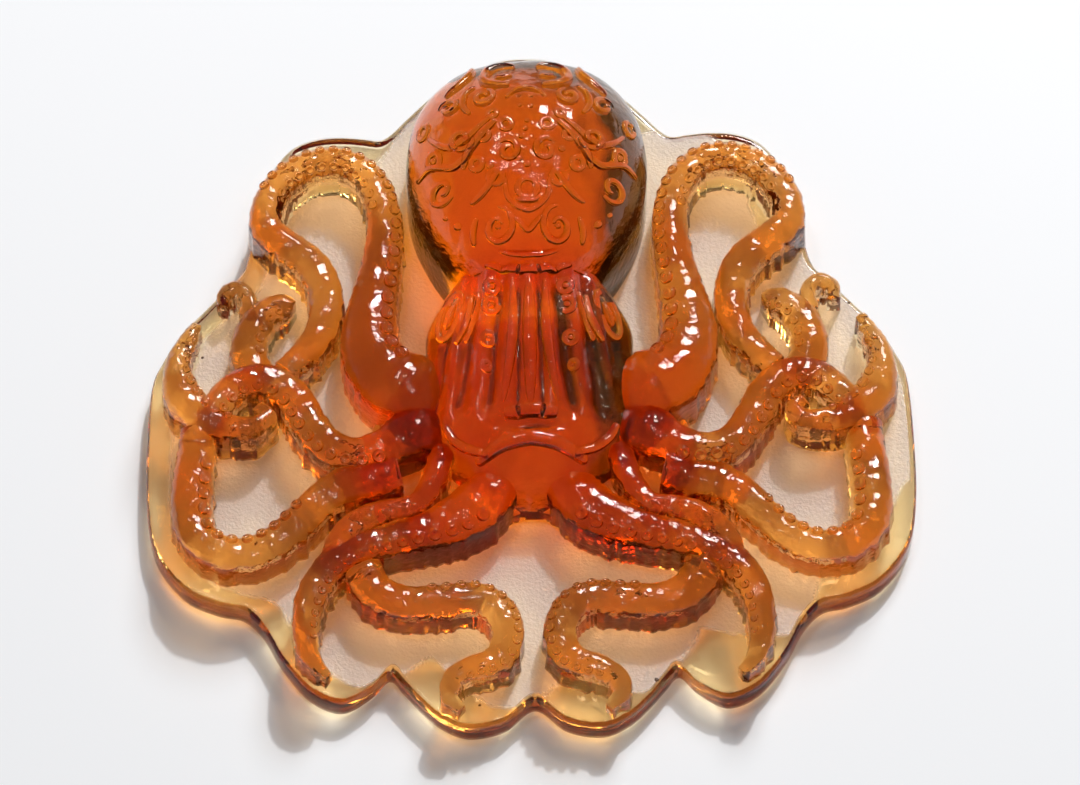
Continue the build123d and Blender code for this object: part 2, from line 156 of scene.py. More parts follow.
def sheet(bm: bmesh.types.BMesh, along: int, around: int, wrap: Wrap, place: Place) -> None:
    """Adds a grid that is wrapped into a closed shape.

    Args:
        bm: The mesh that it joins.
        along: Faces in the first direction.
        around: Faces in the second direction.
        wrap: How the grid closes.
        place: Gives the point, in metres, for two shares from 0 to 1.
    """
    made = bmesh.ops.create_grid(bm, x_segments=along, y_segments=around, size=0.5)["verts"]
    rows: dict[int, list] = {}
    for v in made:
        rows.setdefault(round((v.co.x + 0.5) * along), []).append(v)
    for i, row in rows.items():
        row.sort(key=lambda v: v.co.y)
        for j, v in enumerate(row):
            v.co = place(i / along, j / around)
    bmesh.ops.remove_doubles(bm, verts=made, dist=2e-7)
    if wrap is Wrap.TUBE:
        bmesh.ops.holes_fill(bm, edges=[e for e in bm.edges if e.is_boundary], sides=0)


def placed(
    name: str, data: bpy.types.ID, way: Vector | None = None, away: float = 0.0,
    target: Sequence[float] = (0, 0, 0),
) -> bpy.types.Object:
    """Adds an object to the scene.

    Args:
        name: Its name.
        data: Its mesh, light or camera.
        way: Unit direction in which it stands, seen from the target that it looks at.
        away: Distance from the target, in metres.
        target: Place that it looks at.

    Returns:
        The object.
    """
    obj = bpy.data.objects.new(name, data)
    if way is not None:
        obj.location = Vector(target) + way * away
        obj.rotation_euler = way.to_track_quat("Z", "Y").to_euler()
    bpy.context.scene.collection.objects.link(obj)
    return obj


@dataclass
class Piece:
    """One named piece of the dressed part."""

    name: str
    nodes: Sequence[str]
    slot: str
    bm: bmesh.types.BMesh = field(default_factory=bmesh.new)

    def tree(self) -> BVHTree:
        """Search tree of the piece's faces."""
        return BVHTree.FromBMesh(self.bm)

    def close(self) -> None:
        """Turns all the faces outwards."""
        bmesh.ops.recalc_face_normals(self.bm, faces=self.bm.faces)
        self.bm.normal_update()

    def finish(self, material: bpy.types.Material) -> None:
        """Makes the piece's object and ties it to the frame.

        Args:
            material: The piece's one material, so that light enters and leaves the same glass.
        """
        mesh = bpy.data.meshes.new(self.name)
        for face in self.bm.faces:
            face.smooth = True
        self.bm.to_mesh(mesh)
        mesh.materials.append(material)
        obj = placed(self.name, mesh)
        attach(obj, "root")
        if self.nodes:
            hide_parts(*self.nodes)
        LOG.info("%s: %d faces", self.name, len(mesh.polygons))


# Finishes


class Wiring:
    """Nodes of a material under construction."""

    def __init__(self, name: str) -> None:
        """Starts an empty material.

        Args:
            name: Its name.
        """
        self.material = bpy.data.materials.new(name)
        self.material.use_nodes = True
        self.tree = self.material.node_tree
        self.tree.nodes.clear()

    def node(self, kind: str, inputs: dict | None = None, operation: str = "") -> bpy.types.Node:
        """Adds a node.

        Args:
            kind: Its type, without the word ShaderNode.
            inputs: A value or another node's socket for each input that isn't at its default.
            operation: What a math node does.

        Returns:
            The node.
        """
        made = self.tree.nodes.new(f"ShaderNode{kind}")
        if operation:
            made.operation = operation
        for key, value in (inputs or {}).items():
            if isinstance(value, Socket):
                self.tree.links.new(value, made.inputs[key])
            else:
                made.inputs[key].default_value = value
        return made

    def stored(self, attribute: str) -> Socket:
        """Adds a number that the vertices of a piece hold.

        Args:
            attribute: Its name.

        Returns:
            The number.
        """
        made = self.node("Attribute")
        made.attribute_name = attribute
        return made.outputs["Fac"]

    def scaled(self, share: Socket, factor: float, base: float = 0.0) -> Socket:
        """A share times a factor, plus a base."""
        return self.node("Math", {0: share, 1: factor, 2: base}, "MULTIPLY_ADD").outputs["Value"]

    def ramp(self, share: Socket, stops: Sequence[Stop]) -> Socket:
        """Adds a row of colours.

        Args:
            share: Place along the row, from 0 to 1.
            stops: Places and colours of the row.

        Returns:
            The colour at the share.
        """
        made = self.node("ValToRGB", {"Fac": share})
        elements = made.color_ramp.elements
        elements.remove(elements[1])
        for i, (position, color) in enumerate(stops):
            stop = elements.new(position) if i else elements[0]
            stop.position, stop.color = position, (*color, 1)
        return made.outputs["Color"]

    def mixed(self, share: Socket, first: Socket, second: Socket) -> Socket:
        """Mix of two shaders: all of the first at a share of 0, all of the second at 1."""
        return self.node("MixShader", {"Fac": share, 1: first, 2: second}).outputs["Shader"]


@dataclass(frozen=True)
class Amber:
    """Clear amber that tints light by the depth of material that it crosses.

    The colours focus and edge are what a shadow ray keeps where it meets the surface head on and
    where it grazes it, and painted_light_and_shade tints the surface along the attribute shade
    with painted light and painted shade.
    """

    name: str
    density: float
    ripple: float
    ripple_scale: float
    focus: Color
    edge: Color
    absorbed: Color = (0.025, 0.28, 1.0)
    painted_light_and_shade: Sequence[Stop] = ()
    roughness: float = 0.03
    ripple_depth: float = 0.0004
    refraction: float = 1.5
    frosting: float = 0.0
    frost_roughness: float = 0.28
    frost_ripple: float = 0.5
    haze: Color = (0.74, 0.62, 0.56)
    edge_start: float = 0.95

    def glass(self, wiring: Wiring) -> Socket:
        """Adds the surface, which is rough and milky where the attribute frost says so.

        Args:
            wiring: The material's nodes.

        Returns:
            The surface's shader.
        """
        frost = wiring.stored("frost") if self.frosting else None
        roughness: float | Socket = self.roughness
        ripple: float | Socket = self.ripple
        if frost is not None:
            roughness = wiring.scaled(frost, self.frost_roughness, self.roughness)
            ripple = wiring.scaled(frost, self.frost_ripple, self.ripple)
        place = wiring.node("TexCoord").outputs["Object"]
        grain = wiring.node("TexNoise", {"Vector": place, "Scale": self.ripple_scale, "Detail": 2.0})
        bump = wiring.node("Bump", {
            "Strength": ripple, "Distance": self.ripple_depth, "Height": grain.outputs["Fac"],
        })
        # Base colour painted along the attribute shade: painted light on the left flank, painted shade on
        # the right flank, at the mantle's back and in the head's flutes.
        tint = wiring.ramp(wiring.stored("shade"), self.painted_light_and_shade) if self.painted_light_and_shade else (1, 1, 1, 1)
        clear = wiring.node("BsdfPrincipled", {
            "Base Color": tint,
            "Roughness": roughness,
            "IOR": self.refraction,
            "Transmission Weight": 1.0,
            "Normal": bump.outputs["Normal"],
        }).outputs["BSDF"]
        if frost is None:
            return clear
        haze = wiring.node("BsdfDiffuse", {"Color": (*self.haze, 1)}).outputs["BSDF"]
        return wiring.mixed(wiring.scaled(frost, self.frosting), clear, haze)

    def make(self) -> bpy.types.Material:
        """Builds the material.

        Returns:
            The material, which reads the attribute clearance to hide what lies in a neighbour.
        """
        wiring = Wiring(self.name)
        surface = self.glass(wiring)
        facing = wiring.node("LayerWeight", {"Blend": 0.5}).outputs["Facing"]
        kept = wiring.ramp(facing, [(0.0, self.focus), (self.edge_start, self.edge)])
        passed = wiring.node("BsdfTransparent", {"Color": kept}).outputs["BSDF"]
        surface = wiring.mixed(wiring.node("LightPath").outputs["Is Shadow Ray"], surface, passed)
        hidden = wiring.node("BsdfTransparent").outputs["BSDF"]
        bare = wiring.node("Math", {0: wiring.stored("clearance"), 1: 0.0}, "GREATER_THAN")
        surface = wiring.mixed(bare.outputs["Value"], hidden, surface)
        left = tuple(1 - a for a in self.absorbed)
        depth = wiring.node("VolumeAbsorption", {"Color": (*left, 1), "Density": self.density})
        wiring.node("OutputMaterial", {"Surface": surface, "Volume": depth.outputs["Volume"]})
        return wiring.material


@dataclass(frozen=True)
class Matt:
    """Plain matt finish."""

    name: str
    color: Color
    roughness: float

    def make(self) -> bpy.types.Material:
        """Builds the material.

        Returns:
            The material.
        """
        material = bpy.data.materials.new(self.name)
        material.use_nodes = True
        shader = material.node_tree.nodes["Principled BSDF"]
        shader.inputs["Base Color"].default_value = (*self.color, 1)
        shader.inputs["Roughness"].default_value = self.roughness
        return material


# Sub-assemblies


@dataclass
class Sizes:
    """Overall sizes, in millimetres, read from the frame."""

    half_width: float
    half_length: float
    plate_top: float
    arm_width: float = 4.2
    arm_rise: float = 6.0
    crown_share: float = 0.42
    crown_limit_share: float = 0.72

    @classmethod
    def of_frame(cls) -> "Sizes":
        """Sizes of the backing plate in the frame."""
        low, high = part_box("backing_plate")
        return cls((high.x - low.x) / 2 / MM, (high.y - low.y) / 2 / MM, high.z / MM)

    def crown(self, width: float, rise: float) -> float:
        """Height of the round crown above the walls of a section."""
        return min(width * self.crown_share, rise * self.crown_limit_share)

    def height(self, width: float, rise: float, wall: float, crown: float, sunk: float) -> float:
        """Height over the table at shares of the wall and of the crown of a section."""
        crown_height = self.crown(width, rise)
        return self.plate_top - sunk + wall * (rise - crown_height + sunk) + crown * crown_height


def band_section(wall_steps: int, crown_steps: int) -> list[Row]:
    """Section of a form with upright walls and a round crown.

    Args:
        wall_steps: Faces up each wall.
        crown_steps: Faces over the crown.

    Returns:
        Rows of side from -1 to 1, share of the wall and share of the crown, closed on itself.
    """
    walls = [(1.0, k / wall_steps, 0.0) for k in range(wall_steps)]
    turns = [math.pi * k / crown_steps for k in range(crown_steps + 1)]
    crown = [(math.cos(turn), 1.0, math.sin(turn)) for turn in turns]
    left = [(-1.0, w, c) for _, w, c in reversed(walls)]
    return [*walls, *crown, *left, (-0.4, 0.0, 0.0), (0.4, 0.0, 0.0), (1.0, 0.0, 0.0)]


@dataclass
class Slab:
    """A flat form with an upright rim and a rounded upper edge: the plate or the web.

    The foot holds the inset from the rim, and the height over the underside, of each step up the
    rim. Where own_middle is set, the form is drawn in round the middle of its rim, not the plate's.
    """

    name: str
    node: str
    outline: Sequence[Row]
    sizes: Sizes
    low: float
    top: float
    foot: Sequence[Row]
    points: int
    under_rings: int
    edge_steps: int
    rings: int
    own_middle: bool = False
    round_off: float = 0.9

    def rim(self) -> list[Vector]:
        """Closed outline in millimetres, from the shares of its right half."""
        right = [(x * self.sizes.half_width, y * self.sizes.half_length) for x, y in self.outline]
        return closed_curve(right + [(-x, y) for x, y in reversed(right[1:-1])], self.points)

    def profile(self) -> list[Row]:
        """Profile from the middle of the underside to the middle of the top.

        Returns:
            Rows of share of the reach, inset from the rim and height.
        """
        rows: list[Row] = [(k / self.under_rings, 0, self.low) for k in range(self.under_rings)]
        rows += [(1, inset, self.low + rise) for inset, rise in self.foot]
        for k in range(self.edge_steps + 1):
            turn = math.pi / 2 * k / self.edge_steps
            inset, drop = (self.round_off * (1 - part) for part in (math.cos(turn), math.sin(turn)))
            rows.append((1, inset, self.top - drop))
        inner = [1 - k / self.rings for k in range(1, self.rings + 1)]
        return rows + [(share, self.round_off * share, self.top) for share in inner]

    def build(self) -> Piece:
        """Makes the form.

        Returns:
            The closed piece.
        """
        rim, profile = self.rim(), self.profile()
        middle = sum(rim, Vector((0, 0))) / len(rim) if self.own_middle else Vector((0, 0))

        def place(u: float, v: float) -> Vector:
            """Point of the form at a share of the way round and of the profile."""
            edge = rim[round(u * self.points) % self.points] - middle
            share, inset, z = profile[round(v * (len(profile) - 1))]
            spot = middle + edge * ((edge.length - inset) / edge.length * share)
            return Vector((spot.x, spot.y, z)) * MM

        piece = Piece(f"casting_{self.name}", [self.node], self.name)
        sheet(piece.bm, self.points, len(profile) - 1, Wrap.DISC, place)
        piece.close()
        return piece


@dataclass
class ArmStretch:
    """One stretch of an arm: a band with upright pleated walls and a round crown."""

    name: str
    shares: Sequence[Row]
    sizes: Sizes
    side: Side
    spacing: float = 0.28
    sunk: float = 0.22
    pleat: float = 0.26
    lump: float = 0.30
    dent: float = 0.16
    foot: float = 0.12
    inner_share: float = 0.9
    wall_steps: int = 6
    crown_steps: int = 16
    seed: float = 0.0

    def rows(self, spacing: float) -> list[Row]:
        """Stations along the stretch.

        Args:
            spacing: Wanted distance between neighbours, in millimetres.

        Returns:
            Rows of x, y, width and rise in millimetres.
        """
        s = self.sizes
        scales = (s.half_width * self.side.value, s.half_length, s.arm_width, s.arm_rise)
        return smooth([tuple(a * b for a, b in zip(row, scales)) for row in self.shares], spacing)

    @staticmethod
    def heading(rows: Sequence[Row], i: int) -> Vector:
        """Unit direction of travel at a station, in plan."""
        a, b = rows[max(i - 1, 0)], rows[min(i + 1, len(rows) - 1)]
        return Vector((b[0] - a[0], b[1] - a[1])).normalized()

    def build(self) -> Piece:
        """Makes the stretch.

        Returns:
            The closed piece.
        """
        rows = self.rows(self.spacing)
        section = band_section(self.wall_steps, self.crown_steps)
        headings = [self.heading(rows, i) for i in range(len(rows))]
        runs = [0.0]
        for a, b in zip(rows, rows[1:]):
            runs.append(runs[-1] + math.dist(a[:2], b[:2]))
        bends = self.bends(headings, runs)
        last = len(rows) - 1

        def place(u: float, v: float) -> Vector:
            """Point of the stretch at a share of its length and of its section."""
            i = round(u * last)
            x, y, width, rise = rows[i]
            out, wall, crown = section[round(v * (len(section) - 1))]
            half = width / 2
            if bends[i] * out > 0:
                half = min(half, self.inner_share / max(abs(bends[i]), 1e-6))
            z = self.sizes.height(width, rise, wall, crown, self.sunk)
            spot = Vector((x + headings[i].y * out * half, y - headings[i].x * out * half, self.seed))
            z += crown * (self.lump * noise.noise(spot * 0.5) + self.dent * noise.noise(spot * 1.15))
            near = (1 - crown) * min(1.0, abs(out) * 2) if wall > 0 or abs(out) == 1 else 0
            fold = self.fold(runs[i], out) * near * (1.15 - 0.5 * wall)
            reach = out * (half + fold + self.foot * (1 - wall))
            across = Vector((headings[i].y, -headings[i].x))
            spot = Vector((x, y)) + across * reach
            return Vector((spot.x, spot.y, z)) * MM

        piece = Piece(f"casting_{self.name}_{self.side.word}", [f"{self.name}_{self.side.word}"], "arm")
        sheet(piece.bm, last, len(section) - 1, Wrap.TUBE, place)
        piece.close()
        return piece

    def bends(self, headings: Sequence[Vector], runs: Sequence[float]) -> list[float]:
        """Signed bend of the path at each station, above zero where it turns to its right.

        Args:
            headings: Directions of travel.
            runs: Distance run at each station.

        Returns:
            The bends, in radians a millimetre.
        """
        reach = 3
        result = []
        for i in range(len(headings)):
            a, b = max(i - reach, 0), min(i + reach, len(headings) - 1)
            turn = headings[a].angle_signed(headings[b], 0)
            result.append(turn / max(runs[b] - runs[a], 1e-6))
        return result

    def fold(self, run: float, out: float) -> float:
        """Depth of the wall's pleats.

        Args:
            run: Distance along the stretch, in millimetres.
            out: Side of the section, from -1 to 1.

        Returns:
            The depth in millimetres, below zero where a wall lies back.
        """
        spot = Vector((run * 1.25, out * 9 + self.seed, self.side.value * 31))
        fine = Vector((run * 2.9, out * 5 + self.seed, 17))
        return self.pleat * (1.5 * noise.noise(spot) + 0.7 * noise.noise(fine))


@dataclass
class SuckerRow:
    """Row of cups along a stretch of an arm."""

    arm: ArmStretch
    spans: Sequence[Row]
    radius: float = 0.74
    rise: float = 0.46
    gap: float = 0.30
    widest: float = 1.25
    spacing: float = 0.12
    steps: int = 12
    profile: Sequence[Row] = (
        (0, 0.25), (0.34, 0.35), (0.60, 1), (0.86, 0.80), (1, 0), (0.8, -0.5), (0, -0.5),
    )

    def cup(self, bm: bmesh.types.BMesh, radius: float, seat: Matrix) -> None:
        """Adds one cup.

        Args:
            bm: The mesh that it joins.
            radius: Radius of the cup, in millimetres.
            seat: Where it sits, with its Z away from the arm.
        """
        up = self.rise * radius / self.radius
        made = [bm.verts.new(Vector((r * radius, 0, z * up)) * MM) for r, z in self.profile]
        edges = [bm.edges.new(pair) for pair in zip(made, made[1:])]
        bmesh.ops.spin(
            bm, geom=made + edges, axis=(0, 0, 1), cent=(0, 0, 0), angle=2 * math.pi,
            steps=self.steps, use_merge=True, use_duplicate=False,
        )
        fresh = [v for v in bm.verts if not v.tag]
        bmesh.ops.remove_doubles(bm, verts=fresh, dist=1e-8)
        fresh = [v for v in bm.verts if not v.tag]
        bmesh.ops.transform(bm, matrix=seat, verts=fresh)
        for v in fresh:
            v.tag = True

    def build(self) -> Piece:
        """Makes the row.

        Returns:
            The piece with all the cups of the stretch.
        """
        name = f"{self.arm.name}_suckers_{self.arm.side.word}"
        piece = Piece(f"casting_{name}", [name], "sucker")
        fine = self.arm.rows(self.spacing)
        s = self.arm.sizes
        for start, end, out, size in self.spans:
            out *= self.arm.side.value
            previous: tuple[Vector, float] | None = None
            for i in range(round(start * (len(fine) - 1)), round(end * (len(fine) - 1))):
                x, y, width, rise = fine[i]
                radius = self.radius * size * min(width / s.arm_width, self.widest)
                crown = s.crown(width, rise)
                up = math.sqrt(max(1 - out * out, 0))
                ahead = self.arm.heading(fine, i)
                across = Vector((ahead.y, -ahead.x, 0))
                spot = Vector((x, y, s.plate_top + rise - crown + up * crown)) + across * (out * width / 2)
                reach = radius if previous is None else previous[1] + radius + self.gap
                if previous is not None and (spot - previous[0]).length < reach:
                    continue
                normal = (across * (out / (width / 2)) + Vector((0, 0, up / crown))).normalized()
                lean = normal.to_track_quat("Z", "Y").to_matrix().to_4x4()
                self.cup(piece.bm, radius, Matrix.Translation(spot * MM) @ lean)
                previous = (spot, radius)
        piece.close()
        return piece


@dataclass
class Dome:
    """A body form with sections across the length: the mantle or the head."""

    name: str
    shares: Sequence[Row]
    sizes: Sizes
    back_y: float
    length: float
    width: float
    rise: float
    swell: Callable[[float, float], float]
    spacing: float = 0.30
    sunk: float = 0.25
    wall_steps: int = 10
    crown_steps: int = 64

    def build(self) -> Piece:
        """Makes the form.

        Returns:
            The closed piece.
        """
        back, length = self.back_y, self.length
        stations = [(0.0, back - s * length, w * self.width, h * self.rise) for s, w, h in self.shares]
        rows = smooth(stations, self.spacing)
        section = band_section(self.wall_steps, self.crown_steps)
        last = len(rows) - 1

        def place(u: float, v: float) -> Vector:
            """Point of the form at a share of its length and of its section."""
            _, y, width, rise = rows[round(u * last)]
            out, wall, crown = section[round(v * (len(section) - 1))]
            z = self.sizes.height(width, rise, wall, crown, self.sunk)
            x = out * width / 2
            lift = self.swell(x, y) * crown
            return Vector((x, y, z + lift)) * MM

        piece = Piece(f"casting_{self.name}", [self.name], "body")
        sheet(piece.bm, last, len(section) - 1, Wrap.TUBE, place)
        piece.close()
        return piece


@dataclass
class Carving:
    """Raised ornament that lies on a body form."""

    node: str
    ground: BVHTree
    sizes: Sizes
    slot: str = "ornament"
    around: int = 10
    ring_steps: int = 26
    spacing: float = 0.22
    taper: float = 0.6

    def __post_init__(self) -> None:
        """Starts the piece."""
        self.piece = Piece(f"casting_{self.node}", [self.node], self.slot)

    def seat(self, x: float, y: float) -> tuple[Vector, Vector]:
        """Ground above a place in plan.

        Args:
            x: Place in millimetres.
            y: Place in millimetres.

        Returns:
            Its point, in millimetres, and its normal.
        """
        hit, normal, _, _ = self.ground.ray_cast(Vector((x * MM, y * MM, 0.1)), Vector((0, 0, -1)))
        if hit is None:
            return Vector((x, y, self.sizes.plate_top)), Vector((0, 0, 1))
        return hit / MM, normal

    def seat_axes(self, x: float, y: float, lean: float) -> tuple[Vector, Vector, Vector, Vector]:
        """Ground above a place in plan, with the axes of what lies there.

        Args:
            x: Place in millimetres.
            y: Place in millimetres.
            lean: Turn of the long side in plan, in radians.

        Returns:
            The point, and the short, the long and the upright axis.
        """
        spot, normal = self.seat(x, y)
        side = Vector((math.cos(lean), math.sin(lean), 0))
        long = normal.cross(side).normalized()
        return spot, long.cross(normal).normalized(), long, normal

    def band(self, line: Sequence[Row], width: float, height: float, pointed: float = 0.35) -> None:
        """Adds a rounded band along a line in plan.

        Args:
            line: Places in plan, in millimetres.
            width: Width in the middle of the band.
            height: Height over the ground in the middle.
            pointed: Width at the two ends, as a share of the middle's.
        """
        fine = smooth(line, self.spacing)
        seats = [self.seat(x, y) for x, y in fine]
        last = len(seats) - 1

        def place(u: float, v: float) -> Vector:
            """Point of the band at a share of its length and of its section."""
            i = round(u * last)
            spot, normal = seats[i]
            ahead = seats[min(i + 1, last)][0] - seats[max(i - 1, 0)][0]
            across = ahead.cross(normal).normalized()
            swell = pointed + (1 - pointed) * math.sin(math.pi * u) ** self.taper
            turn = 2 * math.pi * v
            flat = across * (math.cos(turn) * width / 2 * swell)
            return (spot + flat + normal * (math.sin(turn) * height * swell)) * MM

        sheet(self.piece.bm, last, self.around, Wrap.TUBE, place)

    def ring(
        self, x: float, y: float, radius: float, bead: float, stretch: float = 1.0, lean: float = 0.0
    ) -> None:
        """Adds a round raised ring.

        Args:
            x: Place of its middle in plan.
            y: Place of its middle in plan.
            radius: Radius of the bead's middle line.
            bead: Half the width of the bead.
            stretch: Length over width.
            lean: Turn of its long side in plan, in radians.
        """
        spot, side, long, normal = self.seat_axes(x, y, lean)

        def place(u: float, v: float) -> Vector:
            """Point of the ring at a share of the way round and of its bead."""
            angle, turn = 2 * math.pi * u, 2 * math.pi * v
            reach = radius + bead * math.cos(turn)
            lengthened = reach + radius * (stretch - 1)
            flat = side * (reach * math.cos(angle)) + long * (lengthened * math.sin(angle))
            return (spot + flat + normal * (bead * 0.9 * math.sin(turn))) * MM

        sheet(self.piece.bm, self.ring_steps, self.around, Wrap.RING, place)

    def bead(
        self, x: float, y: float, radius: float, height: float, stretch: float = 1.0, lean: float = 0.0
    ) -> None:
        """Adds a low round knob.

        Args:
            x: Place of its middle in plan.
            y: Place of its middle in plan.
            radius: Half its width.
            height: Its height over the ground.
            stretch: Length over width.
            lean: Turn of its long side in plan, in radians.
        """
        spot, side, long, normal = self.seat_axes(x, y, lean)
        made = bmesh.ops.create_uvsphere(self.piece.bm, u_segments=18, v_segments=10, radius=1.0)["verts"]
        basis = Matrix((side * radius, long * (radius * stretch), normal * height)).transposed().to_4x4()
        place = Matrix.Scale(MM, 4) @ Matrix.Translation(spot) @ basis
        bmesh.ops.transform(self.piece.bm, matrix=place, verts=made)

    def build(self) -> Piece:
        """Closes the piece and gives it back."""
        self.piece.close()
        return self.piece


# Shapes of this object, for its right side. Whole numbers are parts of a size: of the plate's half
# sizes, of an arm's width and rise, or of the length, width and rise of the mantle or the head.

THOUSANDTHS = (1000, 1000, 1000)
ARM_PARTS = (1000, 1000, 100, 100)


def shares(rows: Sequence[Row], parts: Sequence[int]) -> list[Row]:
    """Rows of whole numbers, each divided by the number of parts that its column counts in."""
    return [tuple(a / b for a, b in zip(row, parts)) for row in rows]


OUTLINE_SHARES = shares([
    (0, 1000), (76, 991), (162, 953), (238, 897), (311, 823), (360, 770), (391, 752), (436, 758),
    (493, 763), (556, 758), (613, 736), (653, 696), (687, 635), (711, 568), (722, 501), (733, 425),
    (753, 353), (796, 302), (860, 230), (918, 163), (960, 87), (989, 11), (1000, -145),
    (1000, -342), (976, -483), (904, -588), (818, -635), (747, -653), (696, -707), (649, -796),
    (578, -886), (496, -922), (422, -881), (373, -832), (338, -868), (293, -922), (240, -971),
    (171, -1000), (80, -982), (0, -922),
], THOUSANDTHS)
ARM_SHARES = {name: shares(rows, ARM_PARTS) for name, rows in {
    "upper_arm": [
        (222, -92, 170, 102), (262, -88, 205, 133), (312, -76, 214, 150), (373, -36, 200, 143),
        (413, 49, 171, 130), (413, 143, 148, 120), (396, 242, 124, 113), (380, 345, 107, 108),
        (376, 447, 98, 105), (402, 546, 90, 103), (471, 611, 86, 102), (560, 615, 86, 100),
        (638, 568, 88, 100), (682, 492, 93, 100), (682, 418, 98, 100), (631, 367, 100, 100),
        (573, 318, 100, 100), (538, 251, 98, 100), (531, 174, 95, 100), (547, 103, 90, 98),
        (587, 43, 86, 97), (636, -9, 81, 93),
    ],
    "upper_curl": [
        (698, -36, 100, 90), (729, 31, 105, 92), (729, 98, 102, 92), (700, 159, 95, 90),
        (651, 192, 76, 88), (620, 183, 52, 83),
    ],
    "upper_tip": [
        (738, 170, 43, 73), (733, 219, 45, 75), (762, 253, 45, 75), (796, 237, 43, 70),
        (800, 206, 29, 60),
    ],
    "side_arm": [
        (225, -175, 150, 98), (262, -190, 158, 124), (312, -214, 148, 138), (373, -253, 124, 130),
        (453, -268, 107, 120), (524, -237, 102, 113), (573, -170, 102, 110), (613, -94, 105, 108),
        (676, -40, 100, 107), (747, -45, 95, 105), (804, -94, 90, 102), (836, -152, 81, 98),
    ],
    "side_tip": [
        (709, -112, 38, 87), (684, -145, 52, 97), (718, -177, 64, 100), (782, -174, 79, 100),
        (844, -145, 98, 100), (896, -87, 112, 100), (916, -18, 86, 97), (911, 43, 62, 90),
        (889, 96, 48, 83), (869, 143, 29, 73),
    ],
    "lower_arm": [
        (344, -322, 119, 127), (413, -340, 119, 117), (480, -349, 114, 107), (542, -385, 107, 100),
        (600, -447, 100, 95), (667, -506, 98, 92), (742, -535, 98, 90), (818, -521, 102, 90),
        (867, -470, 110, 90), (880, -394, 114, 90), (876, -309, 112, 90), (867, -233, 105, 88),
        (867, -170, 95, 87),
    ],
    "front_root": [
        (222, -250, 71, 105), (238, -300, 71, 118), (256, -358, 67, 118), (302, -423, 62, 117),
        (378, -436, 67, 113), (449, -465, 81, 108), (496, -521, 86, 100), (507, -582, 86, 93),
    ],
    "front_outer_arm": [
        (78, -320, 130, 100), (124, -392, 155, 112), (191, -447, 148, 110), (280, -483, 119, 107),
        (369, -508, 100, 103), (453, -535, 95, 102), (524, -588, 93, 100), (569, -662, 86, 97),
        (584, -743, 76, 90), (580, -810, 62, 77), (556, -850, 45, 60), (527, -870, 26, 40),
    ],
    "front_inner_arm": [
        (440, -582, 110, 93), (404, -649, 110, 93), (329, -682, 102, 90), (231, -678, 100, 88),
        (142, -673, 95, 88), (84, -714, 93, 88), (67, -785, 90, 87), (98, -850, 86, 85),
        (162, -872, 76, 80), (209, -897, 67, 70), (218, -937, 52, 53), (187, -966, 29, 37),
    ],
}.items()}
# Sucker rows: first and last share of the stretch, side of the crown, size
SUCKER_SPANS: dict[str, list[Row]] = {
    "upper_arm": [(0.10, 0.65, -0.60, 1.0), (0.40, 0.65, 0.60, 0.9)],
    "upper_curl": [(0.30, 1.00, -0.60, 0.8)],
    "side_arm": [(0.25, 0.95, 0.60, 1.0)],
    "side_tip": [(0.30, 0.95, -0.60, 0.9)],
    "lower_arm": [(0.30, 0.92, -0.60, 1.0)],
    "front_outer_arm": [(0.15, 0.90, 0.60, 0.9)],
    "front_inner_arm": [(0.30, 0.85, 0.60, 0.9)],
}
MANTLE_SHARES = shares([
    (0, 140, 90), (20, 360, 300), (70, 580, 540), (150, 760, 740), (280, 920, 900), (420, 990, 985),
    (560, 1000, 1000), (700, 940, 950), (830, 820, 860), (930, 690, 750), (1000, 580, 640),
], THOUSANDTHS)
HEAD_SHARES = shares([
    (0, 580, 1000), (110, 640, 1000), (200, 820, 970), (290, 930, 940), (390, 940, 890),
    (500, 960, 830), (620, 1000, 760), (730, 960, 700), (820, 820, 640), (900, 600, 520),
    (960, 340, 340), (1000, 150, 160),
], THOUSANDTHS)
WEB_SHARES = shares([
    (0, 150), (160, 130), (290, 10), (390, -110), (425, -210), (425, -330), (390, -430),
    (270, -475), (130, -455), (0, -405),
], THOUSANDTHS)


@dataclass(frozen=True)
class Stroke:
    """A carved band: its line in plan, in millimetres, and its width and height."""

    line: Sequence[Row]
    width: float
    height: float
    pointed: float = 0.45
    paired: bool = True


def arch(left: Sequence[Row], width: float, height: float, pointed: float = 0.45) -> Stroke:
    """Stroke across the middle, from its left half with the point in the middle."""
    line = [*left, *((-x, y) for x, y in reversed(left) if x)]
    return Stroke(line, width, height, pointed, paired=False)


